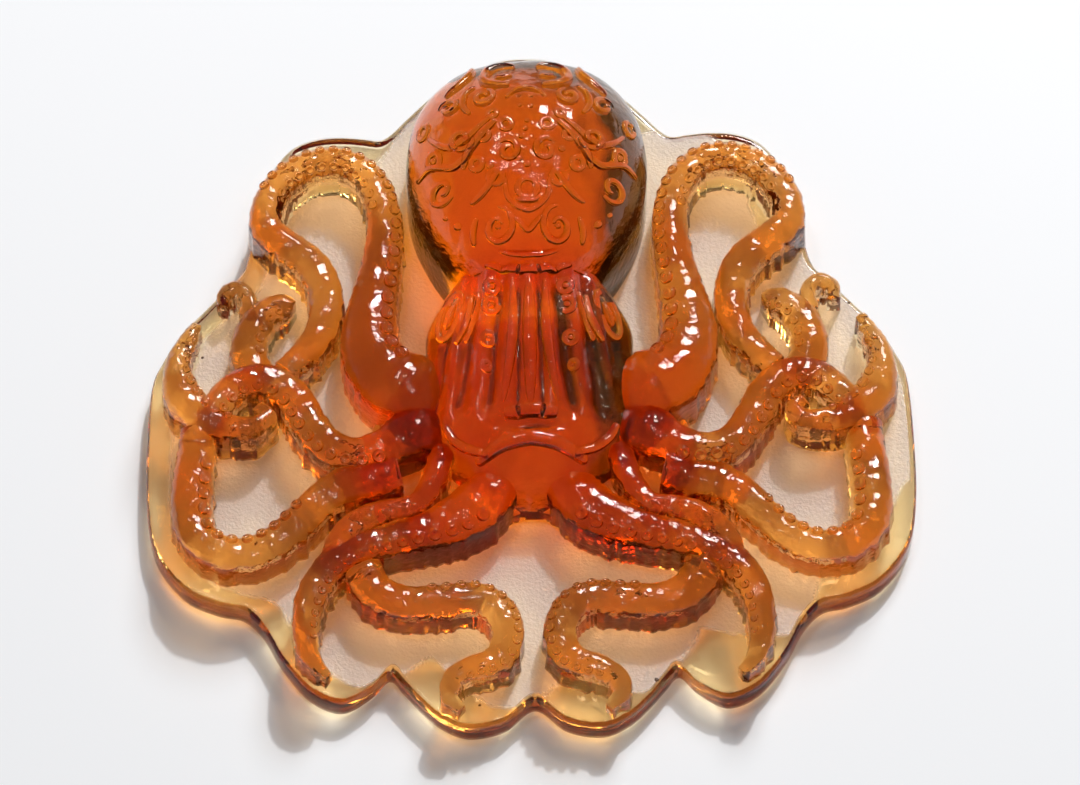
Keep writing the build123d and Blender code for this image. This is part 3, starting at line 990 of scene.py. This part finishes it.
# Rings: x, y, radius, bead; knobs: x, y, radius and, on the flanks, height;
# curls: x, y, radius, lead in turns, width
MANTLE_RINGS: list[Row] = [
    (2.4, 23.9, 0.72, 0.36), (0.0, 16.2, 1.15, 0.4), (3.7, 17.6, 0.85, 0.4), (5.9, 19.4, 0.75, 0.38),
    (10.9, 21.4, 0.95, 0.42), (12.1, 26.1, 0.9, 0.4), (4.0, 25.6, 0.55, 0.34), (5.0, 22.7, 0.6, 0.36),
]
MANTLE_CURLS: list[Row] = [
    (3.5, 12.5, 2.0, 0.25, 0.95), (9.9, 17.6, 1.45, 0.6, 0.9), (2.2, 20.6, 1.45, 0.1, 0.9),
    (7.6, 22.8, 1.5, 0.5, 0.85), (5.0, 28.3, 1.35, 0.3, 0.95), (9.0, 27.8, 1.3, 0.05, 0.85),
]
MANTLE_STROKES: list[Stroke] = [
    arch([(-1.7, 13.4), (-1.0, 12.8), (0.0, 12.0)], 0.8, 0.6),
    arch([(-1.4, 15.3), (-0.7, 14.9)], 0.75, 0.75),
    arch([(-2.6, 17.4), (-2.2, 15.2), (0.0, 13.9)], 0.8, 0.5),
    arch([(-2.4, 27.7), (-1.4, 28.7), (0.0, 29.1)], 0.8, 0.6),
    Stroke([(1.9, 29.8), (3.9, 30.1), (4.9, 31.3), (4.3, 33.0), (2.6, 33.7), (1.3, 33.4)], 1.35, 0.95),
    Stroke([(3.6, 31.6), (2.6, 31.3), (1.6, 31.7)], 0.9, 0.6),
    Stroke([(9.4, 29.9), (7.9, 31.2), (6.6, 32.9), (6.2, 34.6)], 1.3, 0.85),
    Stroke([(5.9, 30.3), (7.0, 29.4), (7.4, 27.6), (6.6, 26.0)], 0.95, 0.65),
    Stroke([(11.4, 24.6), (10.4, 23.2), (9.0, 22.2), (7.4, 22.5), (5.8, 23.6), (4.4, 24.9)], 1.0, 0.75),
    Stroke([(12.8, 20.2), (11.4, 20.7), (9.9, 20.2), (8.6, 19.8), (7.4, 20.4), (6.4, 21.7)], 1.0, 0.75),
    Stroke([(3.6, 24.6), (5.2, 22.9), (6.8, 21.0), (7.5, 19.2)], 1.1, 0.75),
    Stroke([(3.2, 18.6), (4.2, 17.2), (5.4, 15.9), (6.6, 15.2)], 0.9, 0.65),
    Stroke([(6.0, 13.8), (6.4, 12.4), (6.3, 11.2)], 0.8, 0.6),
    arch([(-3.4, 10.3), (-1.6, 9.9), (0.0, 9.8)], 0.9, 0.8),
]
PANEL_KNOBS: list[Row] = [
    (-0.9, 28.0, 0.34), (0.5, 27.9, 0.34), (-0.8, 26.5, 0.3), (0.5, 26.3, 0.36), (0.1, 24.2, 0.34),
    (-0.2, 23.2, 0.4), (-0.6, 22.2, 0.36), (-1.2, 20.9, 0.42), (-0.9, 19.6, 0.4), (0.0, 18.9, 0.46),
    (4.1, 20.8, 0.45), (-4.3, 18.9, 0.45),
]
FLANK_KNOBS: list[Row] = [
    (10.9, 21.4, 0.45, 0.45), (3.5, 12.5, 0.4, 0.4), (8.2, 13.6, 0.55, 0.45), (9.6, 14.9, 0.4, 0.38),
]
CHEEK_RINGS: list[Row] = [
    (4.3, 6.5, 0.8, 0.4), (4.4, 4.2, 0.85, 0.42), (4.8, 0.3, 0.7, 0.4), (5.1, -2.9, 0.55, 0.36),
]
LID_STROKES: list[Stroke] = [
    Stroke([(8.6, 0.4), (7.8, 2.0), (7.0, 4.0), (6.6, 6.2)], 1.1, 0.9),
    Stroke([(7.5, 0.6), (6.7, 2.4), (6.0, 4.6), (5.8, 6.4)], 0.8, 0.6),
]
FACE_STROKES: dict[str, list[Stroke]] = {
    "brow": [arch([(-4.9, 9.3), (-2.4, 8.6), (0.0, 8.3)], 1.3, 0.7)],
    "nose_furrows": [
        Stroke([(0.0, 7.4), (0.0, 2.6), (0.0, -2.0), (0.0, -8.0)], 1.7, 0.75, 0.1, paired=False),
        Stroke([(1.9, 7.2), (1.9, 2.6), (2.3, -2.2), (3.2, -7.6)], 1.3, 0.85, 0.1),
    ],
    "lips": [
        arch([(-3.1, -8.9), (0.0, -8.6)], 2.0, 1.3, 0.6),
        arch([(-6.2, -13.9), (-3.2, -12.4), (0.0, -11.8)], 2.1, 1.3),
        Stroke([(5.0, -13.2), (7.2, -12.4), (9.0, -11.0), (10.0, -9.2)], 1.3, 0.8, 0.6),
    ],
}
# Dark specks in the clear rim: x, y and radius
SPECKS: list[Row] = [
    (41.2, -14.6, 0.28), (41.6, -16.4, 0.20), (40.9, -18.0, 0.24), (-25.0, -36.4, 0.22),
    (14.1, -39.0, 0.26), (24.6, -36.6, 0.22), (30.8, -25.0, 0.20), (-38.6, 4.1, 0.18),
    (38.0, 10.3, 0.18), (-6.4, -41.9, 0.18),
]


@dataclass
class Ornaments:
    """Carved ornament of the mantle and the face."""

    sizes: Sizes
    mantle: BVHTree
    head: BVHTree
    curl_height: float = 0.68
    curl_turn: float = math.radians(430)
    curl_wind: float = 0.74
    curl_steps: int = 13
    pip_share: float = 0.5
    pip_rise: float = 1.1
    eye_place: Row = (9.2, 4.2)
    eye_lean: float = math.radians(23)
    eye_ring: Row = (1.15, 0.50, 2.5)
    eye_ball: Row = (0.60, 0.70, 2.8)

    def carving(self, node: str, ground: BVHTree, slot: str = "ornament") -> Carving:
        """Empty carving that stands for a node."""
        return Carving(node, ground, self.sizes, slot)

    def curl(self, x: float, y: float, radius: float, lead: float, sign: int) -> list[Row]:
        """Line of a curl that winds in from its rim to its middle.

        Args:
            x: Place of its middle on the right side.
            y: Place of its middle.
            radius: Radius of its rim.
            lead: Where on the rim it starts, in turns.
            sign: 1 for the right side, -1 for the left.

        Returns:
            Places in plan.
        """
        line = []
        for k in range(self.curl_steps + 1):
            t = k / self.curl_steps
            angle = 2 * math.pi * lead + self.curl_turn * t
            reach = radius * (1 - t * self.curl_wind)
            line.append((sign * (x + reach * math.cos(angle)), y + reach * math.sin(angle)))
        return line

    @staticmethod
    def strokes(carving: Carving, strokes: Sequence[Stroke], signs: Sequence[int] = (1, -1)) -> Carving:
        """Adds strokes to a carving.

        Args:
            carving: The carving that they join.
            strokes: The strokes, for the right side or for both.
            signs: The sides on which the paired ones are made.

        Returns:
            The same carving.
        """
        for stroke in strokes:
            for sign in signs if stroke.paired else (1,):
                line = [(sign * x, y) for x, y in stroke.line]
                carving.band(line, stroke.width, stroke.height, stroke.pointed)
        return carving

    def build(self) -> list[Piece]:
        """Makes every carved piece of the mantle and the face.

        Returns:
            The pieces.
        """
        rings = self.carving("mantle_rings", self.mantle)
        curls = self.strokes(self.carving("mantle_scrolls", self.mantle), MANTLE_STROKES)
        knobs = self.carving("mantle_beads", self.mantle)
        for x, y, radius, bead in MANTLE_RINGS:
            for sign in (1, -1) if x else (1,):
                rings.ring(sign * x, y, radius, bead)
        for x, y, radius, lead, width in MANTLE_CURLS:
            for sign in (1, -1):
                curls.band(self.curl(x, y, radius, lead, sign), width, self.curl_height)
        for x, y, radius in PANEL_KNOBS:
            knobs.bead(x, y, radius, radius)
        for x, y, radius, height in FLANK_KNOBS:
            for sign in (1, -1):
                knobs.bead(sign * x, y, radius, height)
        made = [rings, curls, knobs]
        for node, strokes in FACE_STROKES.items():
            made.append(self.strokes(self.carving(node, self.head), strokes))
        for side in Side:
            made += self.face_side(side)
        return [carving.build() for carving in made]

    def face_side(self, side: Side) -> list[Carving]:
        """Carves the eye, the lid and the cheek rings of one side.

        Args:
            side: The side.

        Returns:
            The carvings.
        """
        sign = side.value
        x, y, lean = sign * self.eye_place[0], self.eye_place[1], sign * self.eye_lean
        eye = self.carving(f"eye_ring_{side.word}", self.head)
        eye.ring(x, y, *self.eye_ring, lean)
        ball = self.carving(f"eye_ball_{side.word}", self.head, "eye")
        ball.bead(x, y, *self.eye_ball, lean)
        lid = self.strokes(self.carving(f"eyelid_{side.word}", self.head), LID_STROKES, (sign,))
        cheek = self.carving(f"cheek_rings_{side.word}", self.head)
        for a, b, radius, bead in CHEEK_RINGS:
            cheek.ring(sign * a, b, radius, bead)
            cheek.bead(sign * a, b, radius * self.pip_share, bead * self.pip_rise)
        return [eye, ball, lid, cheek]


def bell(distance: float, width: float) -> float:
    """Smooth bump of height 1 that fades with distance."""
    return math.exp(-((distance / width) ** 2))


def mantle_swell(x: float, y: float) -> float:
    """Height over the mantle's plain crown: a groove beside the middle panel, and soft lumps.

    Args:
        x: Place in plan, in millimetres.
        y: Place in plan, in millimetres.

    Returns:
        The height in millimetres.
    """
    along = clamp((20.0 - y) / 4.0)
    groove = 0.35 * bell(abs(x) - 8.2, 0.40) * along
    lumps = 0.30 * noise.noise(Vector((x * 0.30, y * 0.30, 3.0)))
    dents = 0.14 * noise.noise(Vector((x * 0.85, y * 0.85, 7.0)))
    return lumps + dents - groove


# Flutes of the head: x of the groove at the back and at the front, its depth and its width
HEAD_GROOVES: list[Row] = [
    (1.1, 1.5, 0.7, 0.40), (3.0, 4.9, 1.1, 0.80), (6.2, 8.2, 1.3, 1.00), (8.6, 11.0, 0.8, 0.60),
]
# Place of the groove under the upper lip, which also holds painted shade
MOUTH_Y = -10.3


def groove_distance(x: float, y: float, back: float, front: float) -> float:
    """Distance in plan to a groove of the head that runs from its back place to its front one."""
    return abs(x) - (back + (front - back) * clamp((8.0 - y) / 16.0))


def head_swell(x: float, y: float) -> float:
    """Height over the head's plain crown: flutes that spread towards the front.

    Args:
        x: Place in plan, in millimetres.
        y: Place in plan, in millimetres.

    Returns:
        The height in millimetres.
    """
    fade = clamp((y + 10.0) / 3.0)
    lumps = 0.20 * noise.noise(Vector((x * 0.45, y * 0.30, 9.0))) + 0.08 * noise.noise(Vector((x, y, 2.0)))
    for back, front, depth, width in HEAD_GROOVES:
        lumps -= depth * bell(groove_distance(x, y, back, front), width) * fade
    mouth = 0.8 * bell(y - MOUTH_Y, 0.45) * bell(x, 3.2)
    return lumps - mouth


def head_painted_shade(x: float, y: float) -> float:
    """Share of the painted shade that lies in the head's flutes and under the lip.

    Args:
        x: Place in plan, in millimetres.
        y: Place in plan, in millimetres.

    Returns:
        The share, from 0 to 1.
    """
    fade = clamp((y + 9.5) / 2.5) * clamp((8.5 - y) / 3.0)
    deep = max(
        bell(groove_distance(x, y, back, front), 1.15 * width) for back, front, _, width in HEAD_GROOVES
    )
    mouth = bell(y - MOUTH_Y, 0.35) * bell(x, 3.4)
    return clamp(max(deep * fade, mouth))


@dataclass
class Octopus:
    """The whole relief, with the head's sizes in millimetres."""

    sizes: Sizes
    mantle_rise: float = 20.0
    head_back: float = 13.6
    head_length: float = 32.0
    head_width: float = 26.0
    head_rise: float = 13.4
    seed_step: float = 3.7

    def build(self) -> list[Piece]:
        """Makes every piece of the casting.

        Returns:
            The pieces, the plate first.
        """
        s = self.sizes
        low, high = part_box("mantle")
        mantle_back, mantle_front = high.y / MM, low.y / MM
        mantle = Dome(
            "mantle", MANTLE_SHARES, s, mantle_back, mantle_back - mantle_front,
            (high.x - low.x) / MM, self.mantle_rise, swell=mantle_swell,
        ).build()
        head = Dome(
            "head", HEAD_SHARES, s, self.head_back, self.head_length,
            self.head_width, self.head_rise, crown_steps=110, swell=head_swell,
        ).build()
        plate = Slab(
            "plate", "backing_plate", OUTLINE_SHARES, s, low=0.0, top=s.plate_top, points=700,
            foot=[(0.25, 0.0), (0, 0.3), (0, 1.0), (0, 1.8)], under_rings=8, edge_steps=6, rings=104,
        )
        web = Slab(
            "web", "web", WEB_SHARES, s, low=s.plate_top - 0.25, top=s.plate_top + 2.6, points=240,
            foot=[(0, 0.0), (0, 1.2)], under_rings=6, edge_steps=5, rings=40, own_middle=True,
        )
        pieces = [plate.build(), mantle, head, web.build()]
        mark_frost(pieces[0], plate)
        for side in Side:
            pieces += self.arms(side)
        pieces += Ornaments(s, mantle.tree(), head.tree()).build()
        return pieces

    def arms(self, side: Side) -> list[Piece]:
        """Makes the arms and the sucker rows of one side.

        Args:
            side: The side.

        Returns:
            The pieces, the arms first.
        """
        made: dict[str, Piece] = {}
        rows = []
        for seed, (name, shares) in enumerate(ARM_SHARES.items()):
            arm = ArmStretch(name, shares, self.sizes, side, seed=seed * self.seed_step)
            made[name] = arm.build()
            if name in SUCKER_SPANS:
                rows.append(SuckerRow(arm, SUCKER_SPANS[name]).build())
        made["front_root"].nodes = made["front_inner_arm"].nodes
        return [*made.values(), *rows]


def specks(sizes: Sizes) -> Piece:
    """Makes the dark specks that lie in the clear rim.

    Args:
        sizes: Overall sizes.

    Returns:
        The piece, which stands for no node.
    """
    piece = Piece("rim_specks", [], "")
    for x, y, radius in SPECKS:
        made = bmesh.ops.create_icosphere(piece.bm, subdivisions=2, radius=radius * MM)["verts"]
        for v in made:
            v.co *= 1 + 0.5 * noise.noise(v.co / MM * 3 + Vector((x, y, 0)))
            v.co.z *= 0.4
        bmesh.ops.translate(piece.bm, verts=made, vec=Vector((x, y, sizes.plate_top - 0.02)) * MM)
    return piece


# Millimetres: the plate's clear margin, the frost's fade there and how far that border wavers
CLEAR_MARGIN = 2.6
FROST_FADE = 0.6
FROST_WAVER = 0.5


def mark_frost(piece: Piece, plate: Slab) -> None:
    """Stores on every vertex of the plate how frosted it is: 1 on top inside the clear margin.

    Args:
        piece: The plate's piece.
        plate: Its shape.
    """
    table = sorted((math.atan2(p.y, p.x), p.length) for p in plate.rim())
    layer = piece.bm.verts.layers.float.new("frost")
    for v in piece.bm.verts:
        x, y = v.co.x / MM, v.co.y / MM
        if v.co.z / MM < plate.top - 0.01:
            continue
        index = min(int((math.atan2(y, x) + math.pi) / (2 * math.pi) * len(table)), len(table) - 1)
        grain = FROST_WAVER * noise.noise(Vector((x * 0.5, y * 0.5, 0.0)))
        inside = table[index][1] - math.hypot(x, y) - CLEAR_MARGIN + grain
        v[layer] = clamp(inside / FROST_FADE)


# Shade value of the darkest painted shade, and of the inner border of the painted light on the left flank
DARKEST_PAINTED_SHADE = 0.86
LEFT_FLANK = 0.22
# Millimetres: half the width that the shade crosses, and where the painted shade at the mantle's back is
# let in and deepens
TINTED_HALF = 15.0
MANTLE_ONLY = 18.0
PAINTED_SHADE_START = 25.5
PAINTED_SHADE_REACH = 7.0


def mark_shade(pieces: Sequence[Piece]) -> None:
    """Stores on every vertex the place across the casting, from 0 to 1, that picks the body's painted
    light and shade: painted light on the left, painted shade on the right.

    Towards the mantle's back, and in the head's flutes, the tint drifts to the darkest painted shade.

    Args:
        pieces: All the pieces of the casting.
    """
    for piece in pieces:
        layer = piece.bm.verts.layers.float.new("shade")
        for v in piece.bm.verts:
            x, y = v.co.x / MM, v.co.y / MM
            cloud = noise.noise(Vector((x * 0.20, y * 0.20, 5.0)))
            streak = noise.noise(Vector((x * 0.55, y * 0.24, 11.0)))
            # Painted shade that deepens towards the mantle's back.
            back_painted_shade = clamp((y - PAINTED_SHADE_START) / PAINTED_SHADE_REACH + 0.5 * cloud) if y > MANTLE_ONLY else 0.0
            # Painted light on the left and painted shade on the right, with a wavering border.
            across = clamp((x + 1.6 * cloud + 2.6 * streak + TINTED_HALF) / (2 * TINTED_HALF))
            shade = across + (DARKEST_PAINTED_SHADE - across) * back_painted_shade * (0.95 if across > LEFT_FLANK else 0.4)
            # Painted shade in the head's flutes and under the upper lip.
            if piece.name == "casting_head":
                hollow_painted_shade = head_painted_shade(x + 0.6 * cloud, y) * (1.0 if x > -1.5 else 0.9)
                shade += (DARKEST_PAINTED_SHADE - shade) * hollow_painted_shade
            v[layer] = shade


def mark_clearance(pieces: Sequence[Piece]) -> None:
    """Stores on every vertex how far it lies outside the other pieces, in millimetres.

    Args:
        pieces: All the pieces of the casting.
    """
    trees = []
    for piece in pieces:
        spans = list(zip(*(v.co for v in piece.bm.verts)))
        trees.append((piece.tree(), Vector(map(min, spans)), Vector(map(max, spans))))
    far = 1.0
    for i, piece in enumerate(pieces):
        layer = piece.bm.verts.layers.float.new("clearance")
        _, low, high = trees[i]
        others = [
            t for j, t in enumerate(trees)
            if j != i and all(t[1][k] < high[k] and t[2][k] > low[k] for k in range(3))
        ]
        for v in piece.bm.verts:
            clear, co = far, v.co
            for tree, a, b in others:
                if not (a.x < co.x < b.x and a.y < co.y < b.y and a.z < co.z < b.z):
                    continue
                distance = (co - tree.find_nearest(co)[0]).length / MM
                _, above, _, _ = tree.ray_cast(co, Vector((0, 0, 1)))
                inside = above is not None and above.z > 0
                clear = min(clear, -distance if inside else distance)
            v[layer] = clear


@dataclass
class Studio:
    """Floor, light and camera."""

    target: Vector = field(default_factory=lambda: Vector((1.18, -1.95, 5.0)) * MM)
    pixels_per_mm: float = 8.5
    image_width: int = 1080
    elevation: float = 62.0
    turn: float = -0.9
    lens: float = 250.0
    sensor: float = 36.0

    def floor(self) -> None:
        """Adds the pale floor."""
        bm = bmesh.new()
        bmesh.ops.create_grid(bm, x_segments=1, y_segments=1, size=3.0)
        bmesh.ops.translate(bm, verts=bm.verts, vec=(0, 0, -0.00004))
        mesh = bpy.data.meshes.new("floor")
        bm.to_mesh(mesh)
        mesh.materials.append(Matt("pale_floor", (0.90, 0.91, 0.93), 0.8).make())
        placed("floor", mesh)

    def lights(self) -> None:
        """Adds the key light from behind, two small windows and the pale surroundings."""
        behind = Vector((1.4, 3.8, 3.6)).normalized()
        sun = bpy.data.lights.new("key", "SUN")
        sun.energy = 1.55
        sun.angle = math.radians(2.0)
        sun.color = (1.0, 0.985, 0.96)
        box = bpy.data.lights.new("softbox", "AREA")
        box.shape = "DISK"
        box.size = 0.26
        box.energy = 3.2
        window = bpy.data.lights.new("window", "AREA")
        window.shape = "RECTANGLE"
        window.size, window.size_y = 0.04, 0.10
        window.energy = 0.34
        left = Vector((-0.9, 0.9, 4.6)).normalized()
        front = Vector((0.9, -0.9, 4.4)).normalized()
        places = [(sun, behind, 1.0), (box, behind, 0.7), (window, left, 0.7), (window, front, 0.8)]
        for light, way, away in places:
            placed(light.name, light, way, away)
        world = bpy.data.worlds.new("surroundings")
        world.use_nodes = True
        sky = world.node_tree.nodes["Background"]
        sky.inputs["Color"].default_value = (0.93, 0.95, 1.0, 1)
        sky.inputs["Strength"].default_value = 0.14
        bpy.context.scene.world = world

    def camera(self) -> None:
        """Adds the camera at the photograph's viewing angle."""
        data = bpy.data.cameras.new("camera")
        data.lens, data.sensor_width, data.sensor_fit = self.lens, self.sensor, "HORIZONTAL"
        width = self.image_width / self.pixels_per_mm * MM
        distance = width * self.lens / self.sensor
        up, bearing = math.radians(self.elevation), math.radians(-90 + self.turn)
        away = Vector((math.cos(up) * math.cos(bearing), math.cos(up) * math.sin(bearing), math.sin(up)))
        data.clip_start, data.clip_end = 0.01, 50
        bpy.context.scene.camera = placed("camera", data, away, distance, self.target)

    def set_up(self) -> None:
        """Builds the studio and sets how light is shown and followed."""
        self.floor()
        self.lights()
        self.camera()
        scene = bpy.context.scene
        scene.view_settings.view_transform = "Standard"
        scene.cycles.transparent_max_bounces = 48
        scene.cycles.max_bounces = 20
        scene.cycles.transmission_bounces = 20


def finishes() -> dict[str, bpy.types.Material]:
    """Makes the materials.

    Returns:
        The material of each slot, and of the specks.
    """
    plate = Amber(
        "amber_clear", density=120, roughness=0.02, ripple=0.03, ripple_scale=2600, frosting=0.58,
        focus=(0.54, 0.53, 0.50), edge=(0.18, 0.16, 0.14),
    )
    arm = Amber(
        "amber_golden", absorbed=(0.11, 0.44, 1.0), density=290, ripple=0.30, ripple_scale=1100,
        focus=(0.54, 0.48, 0.40), edge=(0.10, 0.08, 0.07),
    )
    # The body's stops are painted light (pale) for the left flank and painted shade (dark) for the right
    # flank, the mantle's back and the head's flutes.
    body = Amber(
        "amber_deep", absorbed=(0.10, 0.34, 1.0), density=210, ripple=0.25, ripple_scale=1000,
        focus=(1.25, 1.10, 0.85), edge=(0.15, 0.12, 0.10), painted_light_and_shade=[
            (0.00, (1.0, 0.97, 0.80)), (0.19, (1.0, 0.95, 0.75)), (0.23, (0.86, 0.55, 0.45)),
            (0.45, (1.0, 0.80, 0.66)), (0.70, (0.80, 0.60, 0.48)), (0.76, (0.34, 0.24, 0.22)),
            (0.83, (0.03, 0.07, 0.15)), (1.00, (0.05, 0.09, 0.15)),
        ],
    )
    trim = replace(arm, name="amber_trim", ripple=0.08, ripple_scale=650.0, edge=(0.5, 0.45, 0.4))
    carved = replace(
        trim, name="amber_carved", absorbed=(0.10, 0.40, 1.0), density=200, ripple=0.10,
        focus=(1.05, 0.80, 0.52),
    )
    golden, small = arm.make(), trim.make()
    return {
        "plate": plate.make(),
        "arm": golden,
        "web": golden,
        "body": body.make(),
        "sucker": small,
        "ornament": carved.make(),
        "eye": small,
        "speck": Matt("dark_speck", (0.10, 0.045, 0.02), 0.5).make(),
    }


def main() -> None:
    """Builds the pieces, dresses them and sets up the studio."""
    logging.basicConfig(level=logging.INFO, format="%(name)s %(message)s")
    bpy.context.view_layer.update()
    overall = Sizes.of_frame()
    pieces = Octopus(overall).build()
    mark_clearance(pieces)
    mark_shade(pieces)
    looks = finishes()
    pieces.append(specks(overall))
    for piece in pieces:
        piece.finish(looks[piece.slot or "speck"])
    Studio().set_up()


if __name__ == "__main__":
    main()
